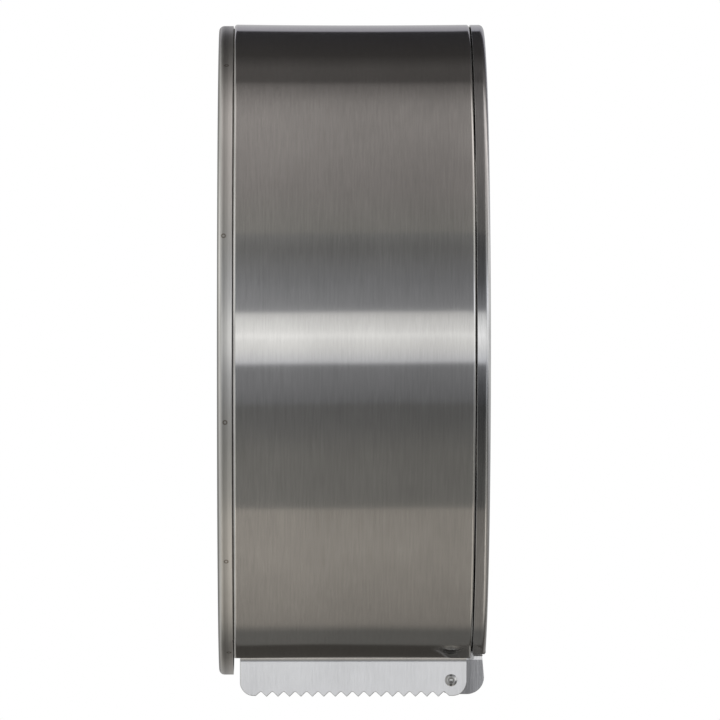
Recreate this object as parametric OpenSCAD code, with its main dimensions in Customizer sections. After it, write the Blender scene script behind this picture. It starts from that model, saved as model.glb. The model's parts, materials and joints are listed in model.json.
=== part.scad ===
// Wall-mounted jumbo roll dispenser in brushed stainless sheet.
// Millimetres. +Z is up, +Y runs into the wall and -Y is the front.
// The origin is the centre of the wall-screw pattern, on the back plate's rear face.
// Every part is drawn in a front-view frame (x right, y up, z out from the wall)
// and turned into the row frame by front_frame().

/* [Body] */
// Outside diameter of the drum
drum_d = 300; // [270:5:330]
// Length of the drum between its two rounded edges
drum_l = 107.6; // [104:0.4:120]
// Thickness of the drum, cover and ring sheet
sheet = 0.8; // [0.6:0.1:0.9]
// Outside radius of the drum's rounded edges
edge_r = 1.3; // [1.2:0.1:2.0]
// Width of the paper mouth cut out of the drum's underside
mouth_w = 108.8; // [100:0.4:112]
// Width of the shadow gap either side of the drum
joint_gap = 0.5; // [0.4:0.1:1.5]

/* [Back plate] */
// Thickness of the back plate
back_t = 1.2; // [1.0:0.1:1.3]
// Depth of the back plate's rim
back_h = 6.6; // [6:0.2:8]
// Outside bend radius of the back plate
back_bend = 2.4; // [1.8:0.1:4]
// How much smaller the back plate's rim is than the drum, on the radius
back_step = 0.7; // [0.4:0.1:0.9]
// Distance between neighbouring wall-screw holes
wall_hole_pitch = 140; // [120:10:160]
// Diameter of the wall-screw holes
wall_hole_d = 6.5; // [5:0.5:8]

/* [Front cover] */
// Depth of the cover's rim
cover_h = 6.0; // [5.4:0.2:8]
// Outside bend radius of the cover's edge
cover_bend = 2.2; // [1.5:0.1:3]
// Length of the sight slot
sight_l = 64; // [40:4:72]
// Width of the sight slot
sight_w = 8; // [6:1:10]

/* [Tear blades] */
// Thickness of the blades and of the hinge bracket
blade_t = 1.0; // [0.8:0.1:1.2]
// How far the tooth tips hang below the drum's lower edge
blade_drop = 17.5; // [16:0.1:20]
// Distance from one tooth to the next
tooth_pitch = 5.2; // [4.5:0.01:5.3]
// Depth of the notches between the teeth
tooth_h = 2.1; // [1.5:0.1:3]
// Number of notches
notches = 17; // [10:1:17]

/* [Roll spindle] */
// Outside diameter of the hub that the roll's core slides on
hub_d = 44; // [38:1:48]
// Length of the hub in front of its rear disc
hub_l = 86; // [80:1:90]
// Diameter of the fixed axle
axle_d = 12; // [10:1:14]

/* [Lock] */
// Height of the lock above the drum's centre
lock_y = 121; // [110:1:122]
// Reach of the cam's tongue from the lock's axis
cam_reach = 22; // [18:0.5:22]

/* [Hidden] */
$fn = 96;

steel = [0.66, 0.66, 0.65];
polished = [0.80, 0.80, 0.80];
bright = [0.78, 0.79, 0.79];
white_plastic = [0.90, 0.90, 0.88];
grey_plastic = [0.45, 0.46, 0.47];
black_rubber = [0.10, 0.10, 0.10];

// Drum.
drum_r = drum_d / 2;
drum_back = back_h + joint_gap;
drum_front = drum_back + drum_l;
curl_r = drum_r - edge_r;
mouth_half = mouth_w / 2;
mouth_angle = asin(mouth_half / drum_r);
mouth_y = -drum_r * cos(mouth_angle);

// Back plate: its middle is pressed forward, so that the rivet tails stay off the wall.
back_r = drum_r - back_step;
boss_rise = 2.6;
boss_r = 36;
boss_foot_r = 40;
boss_front = boss_rise + back_t;

// Rings inside the drum.
join_back = back_bend + 0.2;
join_front = drum_back + 6.6;
seat_inner_r = drum_r - 13;
seat_front = drum_front - edge_r;
seat_back = seat_front - sheet;

// Cover.
cover_r = drum_r - 0.1;
cover_back = drum_front + joint_gap;
cover_front = cover_back + cover_h;
cover_inside = cover_front - sheet;
cover_flat_y = mouth_y + 0.9;
sight_y = -76;

// Tear blades: each one's flange lies inside the drum wall and its bend starts at the wall's cut end.
blade_back = drum_back + 2.6;
blade_front = drum_front - 2.1;
blade_flange_angle = 5;
blade_bend = 2.6;
blade_bend_x = (drum_r - sheet + blade_bend) * sin(mouth_angle);
blade_bend_y = -(drum_r - sheet + blade_bend) * cos(mouth_angle);
blade_outer_x = blade_bend_x - blade_bend;
blade_inner_x = blade_outer_x - blade_t;
tip_y = mouth_y - blade_drop;
blade_heel_y = tip_y + 0.4;
blade_corner_r = 6.2;
first_notch = blade_back + 9.5;
last_notch = first_notch + (notches - 1) * tooth_pitch;
notch_half = 2.4;
notch_floor_half = 0.4;

// Cover hinge: two ears turn on rivets through the front ends of the blades.
pivot_y = mouth_y - 10.1;
pivot_z = cover_back - 9.6;
rivet_r = 1.6;
rivet_head_r = 2.75;
rivet_head_h = 1.3;
rivet_tail_h = 1.0;
running_gap = 0.05;
washer_t = 0.4;
washer_r = 3.2;
ear_outer_x = blade_inner_x - washer_t;
ear_inner_x = ear_outer_x - blade_t;
ear_lobe_r = 6.4;
ear_front = cover_front - 0.6;
ear_corner_r = 7.8;
ear_top_front = cover_front - 1.4;
ear_relief_r = 0.9;
ear_relief_z = cover_back - 0.6;
ear_relief_y = cover_flat_y - 1.8;
bracket_bend = 1.6;
bracket_back = cover_back - 0.5;
bracket_front = cover_front - 2.2;

// Cover buffers.
buffer_ring_r = drum_r - 7;
buffer_angles = [45, 135, 225, 315];
buffer_r = 4.5;
buffer_stem_r = 2;
buffer_bulb_r = 2.8;
buffer_bulb_l = 1.5;
buffer_gap = 0.3;

// Spindle.
axle_r = axle_d / 2;
base_r = 30;
base_t = 1.5;
base_front = boss_front + base_t;
collar_r = axle_r + 3.5;
collar_front = base_front + 4;
rivet_pcd = 44;
base_rivet_r = 2;
base_head_r = 4;
spring_front = collar_front + 1.5;
spring_t = 0.5;
spring_r = 10;
drag_front = spring_front + 1;
hub_back = drag_front + 0.2;
disc_r = 34;
disc_t = 3;
disc_front = hub_back + disc_t;
hub_front = disc_front + hub_l;
spigot_r = hub_d / 2 - 1;
hub_r = hub_d / 2;
hub_wall = 2.2;
bush_r = axle_r + 3;
bush_l = 9;
bush_flange_r = bush_r + 2;
bush_flange_t = 1;
web_t = 5;
front_bush_front = hub_front - 4;
front_web_front = front_bush_front - bush_flange_t;
end_washer_back = front_bush_front + 0.1;
end_washer_t = 1;
clip_back = end_washer_back + end_washer_t;
clip_t = 0.8;
axle_front = clip_back + clip_t + 1.5;
groove_r = axle_r - 0.8;
cap_t = 2.5;
cap_r = hub_d / 2 - 0.4;
cap_edge_r = 1.5;
cap_skirt_l = 2.5;
cap_skirt_t = 2;

// Lock.
recess_r = 12.5;
recess_depth = 2;
recess_slope = 1.5;
recess_front = cover_front - recess_depth;
recess_back = recess_front - sheet;
barrel_r = 8;
barrel_head_r = 10;
barrel_head_t = 1.8;
barrel_back = seat_back;
plug_r = 5.5;
plug_flange_r = 6.6;
plug_flange_t = 1.0;
plug_front = recess_front + barrel_head_t;
cam_t = 1.5;
cam_front = seat_back - 0.3;
cam_back = cam_front - cam_t;
cam_w = 12;
drive_w = 5;
lock_nut_af = 20;
lock_nut_t = 2.4;
key_slot_w = 1.6;
key_slot_l = 8;
key_slot_depth = 2;
cam_screw_r = 1.5;
cam_screw_head_r = 3.1;
cam_screw_head_t = 1.8;

// Turns the front-view frame into the row frame.
module front_frame() {
    rotate([90, 0, 0]) children();
}

// Stands an outline drawn as (depth from wall, height) up in the front-view frame,
// between two distances to the right of centre.
module across(x0, x1) {
    translate([x0, 0, 0]) rotate([0, -90, 0]) mirror([0, 0, 1])
        linear_extrude(x1 - x0) children();
}

// Sector of the front view that holds the paper mouth, widened by an angle on each side.
module mouth_sector(widen, z0, z1) {
    reach = drum_d;
    side = reach * tan(mouth_angle + widen);
    translate([0, 0, z0]) linear_extrude(z1 - z0) polygon([[0, 0], [-side, -reach], [side, -reach]]);
}

// Everything below the drum's lower edge.
module below_mouth() {
    translate([-drum_d, mouth_y - drum_d, -1]) cube([2 * drum_d, drum_d, cover_front + 2]);
}

// Half section of a shallow cup: radius, height and outside bend radius.
module cup_section(r, h, bend) {
    square([r - bend, h]);
    translate([0, bend]) square([r, h - bend]);
    translate([r - bend, bend]) circle(bend);
}

// Quarter of a bent edge, centred on the origin; side is 1 towards +y and -1 towards -y.
module bent_edge(outer, inner, side) {
    intersection() {
        difference() {
            circle(outer);
            circle(inner);
        }
        translate([0, side > 0 ? 0 : -outer - 1]) square([outer + 1, outer + 1]);
    }
}

module back_section() {
    difference() {
        cup_section(back_r, back_h, back_bend);
        translate([0, back_t]) cup_section(back_r - back_t, back_h, back_bend - back_t);
        translate([-1, -1]) square([boss_foot_r + 1, back_h]);
    }
    polygon([[0, boss_rise], [boss_r, boss_rise], [boss_foot_r, 0],
             [boss_foot_r, back_t], [boss_r, boss_front], [0, boss_front]]);
}

module back_plate() {
    half = wall_hole_pitch / 2;
    color(steel) front_frame() difference() {
        rotate_extrude() back_section();
        for (x = [-half, half], y = [-half, half])
            translate([x, y, -1]) cylinder(h = back_h, d = wall_hole_d);
        for (a = [45 : 90 : 315])
            rotate([0, 0, a]) translate([rivet_pcd / 2, 0, 0]) cylinder(h = back_h, r = base_rivet_r);
    }
}

// Joggled strip: its narrow leg lies inside the back plate's rim, its wide leg inside the drum.
module joining_ring() {
    narrow_r = back_r - back_t;
    wide_r = drum_r - sheet;
    step_z = drum_back + edge_r;
    color(steel) front_frame() difference() {
        rotate_extrude() polygon([
            [narrow_r - sheet, join_back], [narrow_r, join_back], [narrow_r, step_z],
            [wide_r, step_z], [wide_r, join_front], [wide_r - sheet, join_front],
            [wide_r - sheet, step_z + sheet], [narrow_r - sheet, step_z + sheet]]);
        mouth_sector(blade_flange_angle + 1.5, -1, cover_front);
    }
}

module drum_section() {
    translate([drum_r - sheet, drum_back + edge_r]) square([sheet, drum_l - 2 * edge_r]);
    translate([curl_r, drum_back + edge_r]) bent_edge(edge_r, edge_r - sheet, -1);
    translate([curl_r, drum_front - edge_r]) bent_edge(edge_r, edge_r - sheet, 1);
}

// The rounded edges are cut off flat at the mouth, the wall between them square to the sheet.
module drum_wall() {
    color(steel) front_frame() difference() {
        rotate_extrude() drum_section();
        below_mouth();
        mouth_sector(0, drum_back + edge_r, drum_front - edge_r);
    }
}

// Flat ring inside the drum's front edge: the lock's cam catches behind it.
module seat_ring() {
    color(steel) front_frame() difference() {
        translate([0, 0, seat_back]) difference() {
            cylinder(h = sheet, r = drum_r - sheet);
            translate([0, 0, -1]) cylinder(h = sheet + 2, r = seat_inner_r);
        }
        mouth_sector(blade_flange_angle + 1.5, 0, cover_front);
        for (a = buffer_angles)
            rotate([0, 0, a]) translate([buffer_ring_r, 0, seat_back - 1])
                cylinder(h = sheet + 2, r = buffer_stem_r);
    }
}

// One notch between two teeth, with a flat floor.
module notch() {
    polygon([[-notch_half, -1], [-notch_half, 0], [-notch_floor_half, tooth_h],
             [notch_floor_half, tooth_h], [notch_half, 0], [notch_half, -1]]);
}

// Outline of a blade as (depth from wall, height).
module blade_outline() {
    heel_back = blade_back + blade_corner_r;
    heel_front = blade_front - blade_corner_r;
    difference() {
        union() {
            translate([blade_back, blade_heel_y + blade_corner_r])
                square([blade_front - blade_back, blade_bend_y - blade_heel_y - blade_corner_r]);
            translate([heel_back, blade_heel_y])
                square([heel_front - heel_back, blade_corner_r + 1]);
            for (z = [heel_back, heel_front])
                translate([z, blade_heel_y + blade_corner_r]) circle(blade_corner_r);
            translate([first_notch, tip_y]) square([last_notch - first_notch, 1]);
        }
        for (i = [0 : notches - 1])
            translate([first_notch + i * tooth_pitch, tip_y]) notch();
        translate([pivot_z, pivot_y]) circle(rivet_r);
    }
}

// Flange and bend of the right-hand blade, in the front view. They overlap by a tenth of a degree.
module blade_flange_section() {
    outer = drum_r - sheet;
    reach = drum_d;
    a0 = mouth_angle - 0.1;
    a1 = mouth_angle + blade_flange_angle;
    side = 5 * blade_bend;
    overlap = 0.5;
    intersection() {
        difference() {
            circle(outer);
            circle(outer - blade_t);
        }
        polygon([[0, 0], [reach * sin(a0), -reach * cos(a0)], [reach * sin(a1), -reach * cos(a1)]]);
    }
    translate([blade_bend_x, blade_bend_y]) intersection() {
        difference() {
            circle(blade_bend + blade_t);
            circle(blade_bend);
        }
        polygon([[0, 0], [-side, 0], [-side, side],
                 [-side * sin(mouth_angle), side * cos(mouth_angle)]]);
    }
    translate([blade_inner_x, blade_bend_y - overlap]) square([blade_t, overlap]);
}

module blade() {
    across(blade_inner_x, blade_outer_x) blade_outline();
    translate([0, 0, blade_back]) linear_extrude(blade_front - blade_back) blade_flange_section();
}

module blade_right() {
    color(bright) front_frame() blade();
}

module blade_left() {
    color(bright) front_frame() mirror([1, 0, 0]) blade();
}

// A turned part lying on the hinge axis, starting at x0 and growing away from the centre.
module on_pivot(x0) {
    translate([x0, pivot_y, pivot_z]) rotate([0, 90, 0]) children();
}

// Blind rivet on the right-hand side: domed head outside, upset tail inside.
module hinge_rivet() {
    dome_r = (rivet_head_r * rivet_head_r + rivet_head_h * rivet_head_h) / (2 * rivet_head_h);
    shank_l = blade_outer_x - ear_inner_x;
    on_pivot(ear_inner_x) cylinder(h = shank_l, r = rivet_r);
    on_pivot(blade_outer_x) difference() {
        intersection() {
            cylinder(h = rivet_head_h, r = rivet_head_r);
            translate([0, 0, rivet_head_h - dome_r]) sphere(dome_r);
        }
        translate([0, 0, rivet_head_h - 0.7]) cylinder(h = 1, r = 0.9);
    }
    on_pivot(ear_inner_x - rivet_tail_h - 0.1) cylinder(h = rivet_tail_h, r = 2.5);
    on_pivot(ear_inner_x - 0.1) cylinder(h = 0.1, r = rivet_r);
}

module hinge_rivets() {
    color(polished) front_frame() for (side = [0, 1])
        mirror([side, 0, 0]) hinge_rivet();
}

module hinge_washers() {
    color(white_plastic) front_frame() for (side = [0, 1])
        mirror([side, 0, 0]) on_pivot(ear_outer_x + 0.05) difference() {
            cylinder(h = washer_t - 0.05, r = washer_r);
            translate([0, 0, -1]) cylinder(h = washer_t + 2, r = rivet_r);
        }
}

module cover_buffers() {
    color(black_rubber) front_frame() for (a = buffer_angles)
        rotate([0, 0, a]) translate([buffer_ring_r, 0, 0]) {
            translate([0, 0, seat_front]) cylinder(h = cover_inside - buffer_gap - seat_front, r = buffer_r);
            translate([0, 0, seat_back]) cylinder(h = sheet, r = buffer_stem_r);
            translate([0, 0, seat_back - buffer_bulb_l]) cylinder(h = buffer_bulb_l, r = buffer_bulb_r);
        }
}

module spindle_base() {
    color(steel) front_frame() difference() {
        union() {
            translate([0, 0, boss_front]) cylinder(h = base_t, r = base_r);
            translate([0, 0, base_front]) cylinder(h = collar_front - base_front, r = collar_r);
        }
        translate([0, 0, boss_front - 1]) cylinder(h = collar_front, r = axle_r);
        for (a = [45 : 90 : 315])
            rotate([0, 0, a]) translate([rivet_pcd / 2, 0, 0]) cylinder(h = collar_front, r = base_rivet_r);
    }
}

module base_rivets() {
    head_h = 1.6;
    tail_h = 1.2;
    dome_r = (base_head_r * base_head_r + head_h * head_h) / (2 * head_h);
    color(polished) front_frame() for (a = [45 : 90 : 315])
        rotate([0, 0, a]) translate([rivet_pcd / 2, 0, 0]) {
            translate([0, 0, boss_rise]) cylinder(h = base_front - boss_rise, r = base_rivet_r);
            translate([0, 0, boss_rise - tail_h]) cylinder(h = tail_h, r = base_head_r - 0.6);
            translate([0, 0, base_front]) intersection() {
                cylinder(h = head_h, r = base_head_r);
                translate([0, 0, head_h - dome_r]) sphere(dome_r);
            }
        }
}

// Fixed axle, with a groove for the retaining clip and a chamfered nose.
module spindle_axle() {
    color(polished) front_frame() rotate_extrude() polygon([
        [0, boss_front], [axle_r, boss_front], [axle_r, clip_back], [groove_r, clip_back],
        [groove_r, clip_back + clip_t], [axle_r, clip_back + clip_t],
        [axle_r, axle_front - 0.8], [axle_r - 0.8, axle_front], [0, axle_front]]);
}

// Conical spring washer that presses the drag washer against the hub.
module drag_spring() {
    inner = axle_r + 0.3;
    color(polished) front_frame() rotate_extrude() polygon([
        [inner, collar_front + 1], [inner, spring_front],
        [spring_r, collar_front + spring_t], [spring_r, collar_front]]);
}

module drag_washer() {
    color(white_plastic) front_frame() translate([0, 0, spring_front]) difference() {
        cylinder(h = drag_front - spring_front, r = spring_r + 1);
        translate([0, 0, -1]) cylinder(h = 4, r = axle_r + 0.2);
    }
}

module axle_washer() {
    color(polished) front_frame() translate([0, 0, end_washer_back]) difference() {
        cylinder(h = end_washer_t - 0.05, r = bush_flange_r - 0.5);
        translate([0, 0, -1]) cylinder(h = 4, r = axle_r + 0.2);
    }
}

// E-shaped retaining clip in the axle's groove, open towards the bottom.
module retaining_clip() {
    color(polished) front_frame() translate([0, 0, clip_back]) linear_extrude(clip_t) difference() {
        circle(axle_r + 2.6);
        circle(groove_r);
        translate([-groove_r * 0.7, -2 * axle_r]) square([groove_r * 1.4, 2 * axle_r]);
        for (a = [30, 150])
            rotate([0, 0, a]) translate([axle_r + 0.4, 0]) circle(1.4, $fn = 24);
    }
}

// Disc that the roll's rear face runs against.
module hub_disc() {
    lip = 0.8;
    color(grey_plastic) front_frame() rotate_extrude() polygon([
        [spigot_r, hub_back], [disc_r - lip, hub_back], [disc_r, hub_back + lip],
        [disc_r, disc_front - lip], [disc_r - lip, disc_front], [spigot_r, disc_front]]);
}

// Rotating hub that carries the roll's core, with a web at each end for its bushes.
module hub_sleeve() {
    color(white_plastic) front_frame() difference() {
        union() {
            translate([0, 0, hub_back]) cylinder(h = disc_t, r = spigot_r);
            translate([0, 0, disc_front]) cylinder(h = hub_l, r = hub_r);
        }
        translate([0, 0, hub_back - 1]) cylinder(h = hub_front, r = bush_r);
        translate([0, 0, hub_back + web_t])
            cylinder(h = front_web_front - web_t - hub_back - web_t, r = hub_r - hub_wall);
        translate([0, 0, front_web_front]) cylinder(h = hub_front, r = hub_r - hub_wall);
        for (a = [0 : 60 : 300])
            rotate([0, 0, a]) translate([(bush_flange_r + hub_r - hub_wall) / 2 + 0.4, 0, hub_back - 1])
                cylinder(h = hub_front, r = 2.4);
    }
}

module bush() {
    difference() {
        union() {
            cylinder(h = bush_l, r = bush_r);
            translate([0, 0, bush_l - bush_flange_t]) cylinder(h = bush_flange_t, r = bush_flange_r);
        }
        translate([0, 0, -1]) cylinder(h = bush_l + 2, r = axle_r + running_gap);
    }
}

module hub_front_bush() {
    color(grey_plastic) front_frame() translate([0, 0, front_bush_front - bush_l]) bush();
}

// The rear bush has no flange, so that it turns on the drag washer.
module hub_rear_bush() {
    color(grey_plastic) front_frame() translate([0, 0, hub_back]) difference() {
        cylinder(h = bush_l, r = bush_r);
        translate([0, 0, -1]) cylinder(h = bush_l + 2, r = axle_r + running_gap);
    }
}

// Cap that closes the hub's front end: a rounded disc on a skirt.
module hub_cap() {
    skirt_r = hub_r - hub_wall;
    color(grey_plastic) front_frame() rotate_extrude() difference() {
        union() {
            translate([0, hub_front]) square([cap_r - cap_edge_r, cap_t]);
            translate([0, hub_front]) square([cap_r, cap_t - cap_edge_r]);
            intersection() {
                translate([cap_r - cap_edge_r, hub_front + cap_t - cap_edge_r]) circle(cap_edge_r);
                translate([0, hub_front]) square([cap_r, cap_t]);
            }
            translate([0, hub_front - cap_skirt_l]) square([skirt_r, cap_skirt_l + 0.5]);
        }
        translate([0, hub_front - cap_skirt_l]) square([skirt_r - cap_skirt_t, cap_skirt_l]);
    }
}

// Solid with the cover's outline, shrunk inwards by a margin, from depth z0 to the front.
module cover_solid(margin, z0) {
    top = cover_front - margin;
    bend = cover_bend - margin;
    flat_y = cover_flat_y + margin;
    reach = drum_d;
    intersection() {
        translate([0, 0, top]) mirror([0, 0, 1]) rotate_extrude()
            cup_section(cover_r - margin, top - z0, bend);
        across(-reach, reach) union() {
            translate([z0, flat_y]) square([top - bend - z0, reach]);
            translate([z0, flat_y + bend]) square([top - z0, reach]);
            translate([top - bend, flat_y + bend]) circle(bend);
        }
    }
}

module cover_panel() {
    color(polished) front_frame() difference() {
        union() {
            difference() {
                cover_solid(0, cover_back);
                cover_solid(sheet, cover_back - 1);
            }
            translate([0, lock_y, 0]) rotate_extrude() polygon([
                [0, recess_back], [recess_r + sheet, recess_back],
                [recess_r + sheet + recess_slope, cover_inside], [0, cover_inside]]);
        }
        translate([0, lock_y, 0]) rotate_extrude() polygon([
            [0, recess_front], [recess_r, recess_front],
            [recess_r + recess_slope, cover_front], [recess_r + recess_slope, cover_front + 1],
            [0, cover_front + 1]]);
        translate([0, lock_y, recess_back - 1]) cylinder(h = sheet + 2, r = barrel_r);
        translate([0, sight_y, cover_inside - 1]) linear_extrude(sheet + 2) {
            square([sight_w, sight_l - sight_w], center = true);
            for (side = [-1, 1])
                translate([0, side * (sight_l - sight_w) / 2]) circle(d = sight_w);
        }
    }
}

// Outline of a hinge ear as (depth from wall, height), with a round relief at the bend's end.
module ear_outline() {
    bottom = pivot_y - ear_lobe_r;
    corner_z = ear_front - ear_corner_r;
    bend_y = cover_flat_y - bracket_bend;
    difference() {
        union() {
            translate([pivot_z, pivot_y]) circle(ear_lobe_r);
            translate([corner_z, bottom + ear_corner_r]) circle(ear_corner_r);
            polygon([[pivot_z, bottom], [corner_z, bottom], [corner_z, bottom + ear_corner_r],
                     [ear_front, bottom + ear_corner_r], [ear_top_front, bend_y],
                     [ear_relief_z, bend_y], [ear_relief_z, ear_relief_y],
                     [pivot_z, ear_relief_y], [pivot_z - ear_lobe_r, pivot_y]]);
        }
        translate([ear_relief_z - ear_relief_r, ear_relief_y]) circle(ear_relief_r);
        translate([pivot_z, pivot_y]) circle(rivet_r + running_gap);
    }
}

// Right-hand half of the bracket: half the base, the bend and the ear.
module bracket_half() {
    across(ear_inner_x, ear_outer_x) ear_outline();
    translate([0, 0, bracket_back]) linear_extrude(bracket_front - bracket_back) {
        translate([0, cover_flat_y - blade_t]) square([ear_outer_x - bracket_bend, blade_t]);
        translate([ear_outer_x - bracket_bend, cover_flat_y - bracket_bend])
            bent_edge(bracket_bend, bracket_bend - blade_t, 1);
    }
}

module hinge_bracket() {
    color(steel) front_frame() {
        bracket_half();
        mirror([1, 0, 0]) bracket_half();
    }
}

module lock_barrel() {
    color(polished) front_frame() translate([0, lock_y, 0]) difference() {
        union() {
            translate([0, 0, barrel_back]) cylinder(h = recess_front - barrel_back, r = barrel_r);
            translate([0, 0, recess_front]) cylinder(h = barrel_head_t - 0.6, r = barrel_head_r);
            translate([0, 0, recess_front + barrel_head_t - 0.6])
                cylinder(h = 0.6, r1 = barrel_head_r, r2 = barrel_head_r - 0.6);
        }
        translate([0, 0, barrel_back - 1]) cylinder(h = 20, r = plug_r + running_gap);
        translate([0, 0, plug_front - plug_flange_t - 0.1]) cylinder(h = 5, r = plug_flange_r + running_gap);
    }
}

module lock_nut() {
    color(polished) front_frame() translate([0, lock_y, recess_back - lock_nut_t]) difference() {
        cylinder(h = lock_nut_t, d = lock_nut_af / cos(30), $fn = 6);
        translate([0, 0, -1]) cylinder(h = lock_nut_t + 2, r = barrel_r);
    }
}

// Plug that the key turns: flanged face, round body and a square drive for the cam.
module lock_plug() {
    color(polished) front_frame() translate([0, lock_y, 0]) difference() {
        union() {
            translate([0, 0, plug_front - plug_flange_t]) cylinder(h = plug_flange_t, r = plug_flange_r);
            translate([0, 0, cam_front]) cylinder(h = plug_front - plug_flange_t - cam_front, r = plug_r);
            translate([-drive_w / 2, -drive_w / 2, cam_back]) cube([drive_w, drive_w, cam_t]);
        }
        translate([-key_slot_w / 2, -key_slot_l / 2, plug_front - key_slot_depth])
            cube([key_slot_w, key_slot_l, key_slot_depth + 1]);
        translate([0, 0, cam_back - 1]) cylinder(h = 6, r = cam_screw_r);
    }
}

// Tongue that swings behind the seat ring. It points left when unlocked.
module lock_cam() {
    tip_r = 3;
    color(steel) front_frame() translate([0, lock_y, cam_back]) linear_extrude(cam_t) difference() {
        union() {
            circle(cam_w / 2 + 1);
            translate([-(cam_reach - tip_r), -cam_w / 2]) square([cam_reach - tip_r, cam_w]);
            translate([-cam_reach, -cam_w / 2 + tip_r]) square([cam_reach, cam_w - 2 * tip_r]);
            for (side = [-1, 1])
                translate([-cam_reach + tip_r, side * (cam_w / 2 - tip_r)]) circle(tip_r);
        }
        square(drive_w, center = true);
    }
}

module cam_screw() {
    color(polished) front_frame() translate([0, lock_y, 0]) difference() {
        union() {
            translate([0, 0, cam_back - cam_screw_head_t])
                cylinder(h = cam_screw_head_t, r = cam_screw_head_r);
            translate([0, 0, cam_back]) cylinder(h = 4.5, r = cam_screw_r);
        }
        for (a = [0, 90])
            rotate([0, 0, a]) translate([-2, -0.4, cam_back - cam_screw_head_t - 1]) cube([4, 0.8, 2]);
    }
}

back_plate();
joining_ring();
drum_wall();
seat_ring();
blade_left();
blade_right();
hinge_rivets();
hinge_washers();
cover_buffers();
spindle_base();
base_rivets();
spindle_axle();
drag_spring();
drag_washer();
axle_washer();
retaining_clip();
hub_disc();
hub_sleeve();
hub_rear_bush();
hub_front_bush();
hub_cap();
cover_panel();
hinge_bracket();
lock_barrel();
lock_nut();
lock_plug();
lock_cam();
cam_screw();
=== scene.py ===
"""Looks of the wall-mounted jumbo roll dispenser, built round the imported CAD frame.

Metres. +Z is up, +Y runs into the wall and -Y is the front. Depth means the distance in front of
the wall, so a point at depth d has y = -d. Round sheet parts are drawn as (radius, depth) outlines,
flat sheet parts as outlines that are cut, bent and then placed.
"""

import json
import math

import bmesh
import bpy
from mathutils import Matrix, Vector, noise


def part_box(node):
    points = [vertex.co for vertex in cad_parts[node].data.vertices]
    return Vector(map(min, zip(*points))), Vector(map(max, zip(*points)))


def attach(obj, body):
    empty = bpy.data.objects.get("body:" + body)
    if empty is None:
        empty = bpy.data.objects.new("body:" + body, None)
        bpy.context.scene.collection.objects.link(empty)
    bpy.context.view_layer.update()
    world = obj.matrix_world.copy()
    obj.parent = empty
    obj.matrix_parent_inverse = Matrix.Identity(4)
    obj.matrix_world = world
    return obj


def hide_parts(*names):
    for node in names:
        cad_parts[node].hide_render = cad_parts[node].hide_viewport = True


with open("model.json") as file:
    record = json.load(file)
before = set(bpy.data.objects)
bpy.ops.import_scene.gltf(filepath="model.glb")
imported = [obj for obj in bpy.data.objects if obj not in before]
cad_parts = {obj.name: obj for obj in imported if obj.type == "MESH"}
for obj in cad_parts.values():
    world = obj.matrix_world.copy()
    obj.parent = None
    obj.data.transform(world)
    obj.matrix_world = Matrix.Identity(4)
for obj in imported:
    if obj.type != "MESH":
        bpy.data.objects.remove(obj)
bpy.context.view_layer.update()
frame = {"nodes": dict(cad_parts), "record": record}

MM = 0.001
GRAIN = "grain"

# How much higher the cover's flat lies than in the CAD model.
FLAT_RISE = 1.0 * MM


def depth_range(node):
    """Rear and front of a CAD node, as depths in front of the wall."""
    low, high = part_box(node)
    return -high.y, -low.y


# Sizes that the CAD model gives.
DRUM_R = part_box("drum_wall")[1].z
DRUM_BACK, DRUM_FRONT = depth_range("drum_wall")
DRUM_MID = (DRUM_BACK + DRUM_FRONT) / 2
DRUM_HALF = (DRUM_FRONT - DRUM_BACK) / 2
MOUTH_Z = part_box("drum_wall")[0].z
MOUTH_ANGLE = math.acos(-MOUTH_Z / DRUM_R)
PAN_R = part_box("back_plate")[1].z
PAN_H = depth_range("back_plate")[1]
JOIN_BACK, JOIN_FRONT = depth_range("joining_ring")
COVER_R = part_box("cover_panel")[1].z
COVER_FLAT_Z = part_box("cover_panel")[0].z + FLAT_RISE
COVER_BACK, COVER_FRONT = depth_range("cover_panel")
BLADE_BACK, BLADE_FRONT = depth_range("blade_right")
BLADE_INNER_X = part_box("blade_right")[0].x
TIP_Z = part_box("blade_right")[0].z
PIVOT = (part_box("hinge_rivets")[0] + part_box("hinge_rivets")[1]) / 2
EAR_LOW, EAR_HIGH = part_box("hinge_bracket")
LOCK_Z = (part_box("lock_barrel")[0].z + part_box("lock_barrel")[1].z) / 2

# Sheet sizes, as in the CAD model.
SHEET = 0.8 * MM
BACK_T = 1.2 * MM
BLADE_T = 1.0 * MM
EDGE_R = 1.3 * MM
COVER_BEND = 2.2 * MM
BACK_BEND = 2.4 * MM


# ---------------------------------------------------------------- outlines

def arc(cx, cy, r, start, end, n=8):
    """Points on an arc; angles in degrees, counter-clockwise from the first axis."""
    return [
        (cx + r * math.cos(math.radians(a)), cy + r * math.sin(math.radians(a)))
        for a in (start + (end - start) * i / n for i in range(n + 1))
    ]


def line(p, q, n):
    """Points from p towards q, without q."""
    return [(p[0] + (q[0] - p[0]) * i / n, p[1] + (q[1] - p[1]) * i / n) for i in range(n)]


def inset(loop, by):
    """A closed counter-clockwise outline moved inwards by a distance."""
    moved = []
    for i, q in enumerate(loop):
        p, q, r = Vector(loop[i - 1]), Vector(q), Vector(loop[(i + 1) % len(loop)])
        a, b = (q - p).normalized(), (r - q).normalized()
        na, nb = Vector((-a.y, a.x)), Vector((-b.y, b.x))
        moved.append(q + (na + nb) * (by / max(0.4, 1 + na.dot(nb))))
    return moved


# ---------------------------------------------------------------- meshes

def bridge(bm, rings):
    """Quads between neighbouring closed rings of vertices."""
    for a, b in zip(rings, rings[1:]):
        for i in range(len(a)):
            bm.faces.new((a[i - 1], a[i], b[i], b[i - 1]))


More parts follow.
